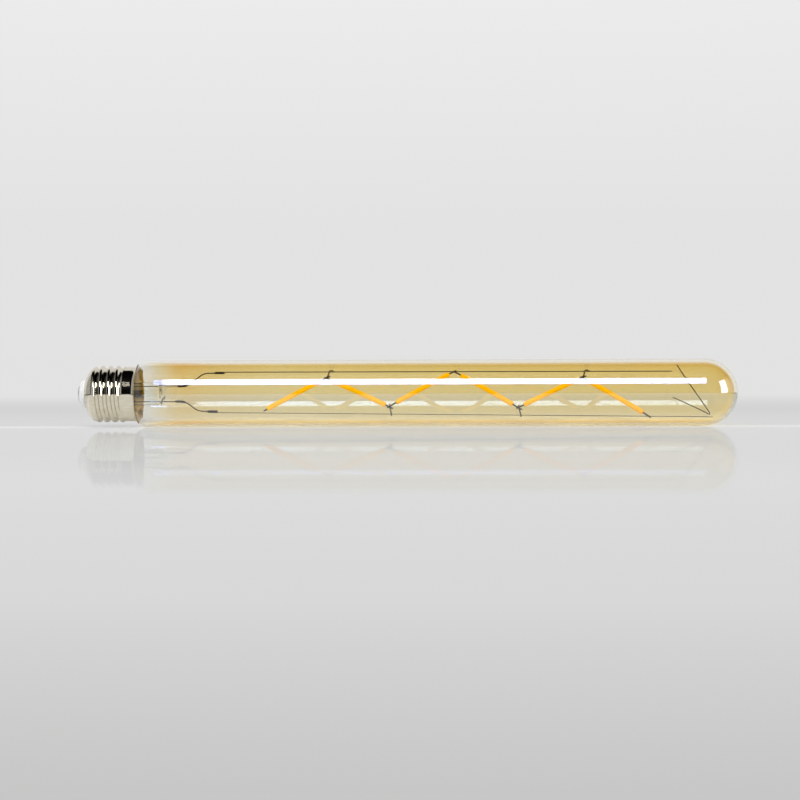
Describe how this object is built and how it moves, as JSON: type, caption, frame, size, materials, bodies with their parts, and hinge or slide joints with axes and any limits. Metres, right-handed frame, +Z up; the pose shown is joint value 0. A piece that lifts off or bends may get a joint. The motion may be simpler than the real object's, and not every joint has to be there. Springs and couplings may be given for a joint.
{
  "type": "tubular light bulb",
  "caption": "Long clear tube bulb with an amber lustre, a round end, zigzag filament strips on wire rails inside, and a bright metal screw cap at one end.",
  "frame": {"origin": "on the bulb's axis, at the outer face of the centre contact", "axes": "+X along the bulb's axis from the cap to the dome, +Z up, as it lies in the picture"},
  "size_m": [0.3, 0.0305, 0.0304],
  "materials": {
    "amber_glass": "clear glass with an amber lustre that fades out towards the cap",
    "stem_glass": "clear glass",
    "nickel_shell": "bright nickel plate",
    "contact_metal": "bright nickel plate",
    "white_insulator": "white, smooth",
    "cement": "golden brown, fine grained",
    "lead_metal": "dull drawn wire",
    "rail_metal": "drawn wire",
    "phosphor": "orange coated strip, satin",
    "tab_metal": "stamped strip",
    "board": "green board",
    "chip_body": "black moulding",
    "resistor_body": "blue-grey coat",
    "copper_wire": "copper wire"
  },
  "bodies": {
    "root": {"glass_envelope": "amber_glass", "stem": "stem_glass", "exhaust_tube": "stem_glass", "screw_shell": "nickel_shell", "centre_contact": "contact_metal", "insulator": "white_insulator", "basing_cement": "cement", "upper_lead_wire": "lead_metal", "lower_lead_wire": "lead_metal", "upper_rail": "rail_metal", "lower_rail": "rail_metal", "hook_1": "rail_metal", "hook_2": "rail_metal", "hook_4": "rail_metal", "hook_5": "rail_metal", "end_brace": "rail_metal", "filament_1": "phosphor", "filament_2": "phosphor", "filament_3": "phosphor", "filament_4": "phosphor", "filament_5": "phosphor", "filament_6": "phosphor", "filament_1_tabs": "tab_metal", "filament_2_tabs": "tab_metal", "filament_3_tabs": "tab_metal", "filament_4_tabs": "tab_metal", "filament_5_tabs": "tab_metal", "filament_6_tabs": "tab_metal", "driver_board": "board", "rectifier": "chip_body", "driver_chip": "chip_body", "chip_capacitor": "chip_body", "fuse_resistor": "resistor_body", "contact_wire": "copper_wire", "shell_wire": "copper_wire"}
  },
  "joints": []
}
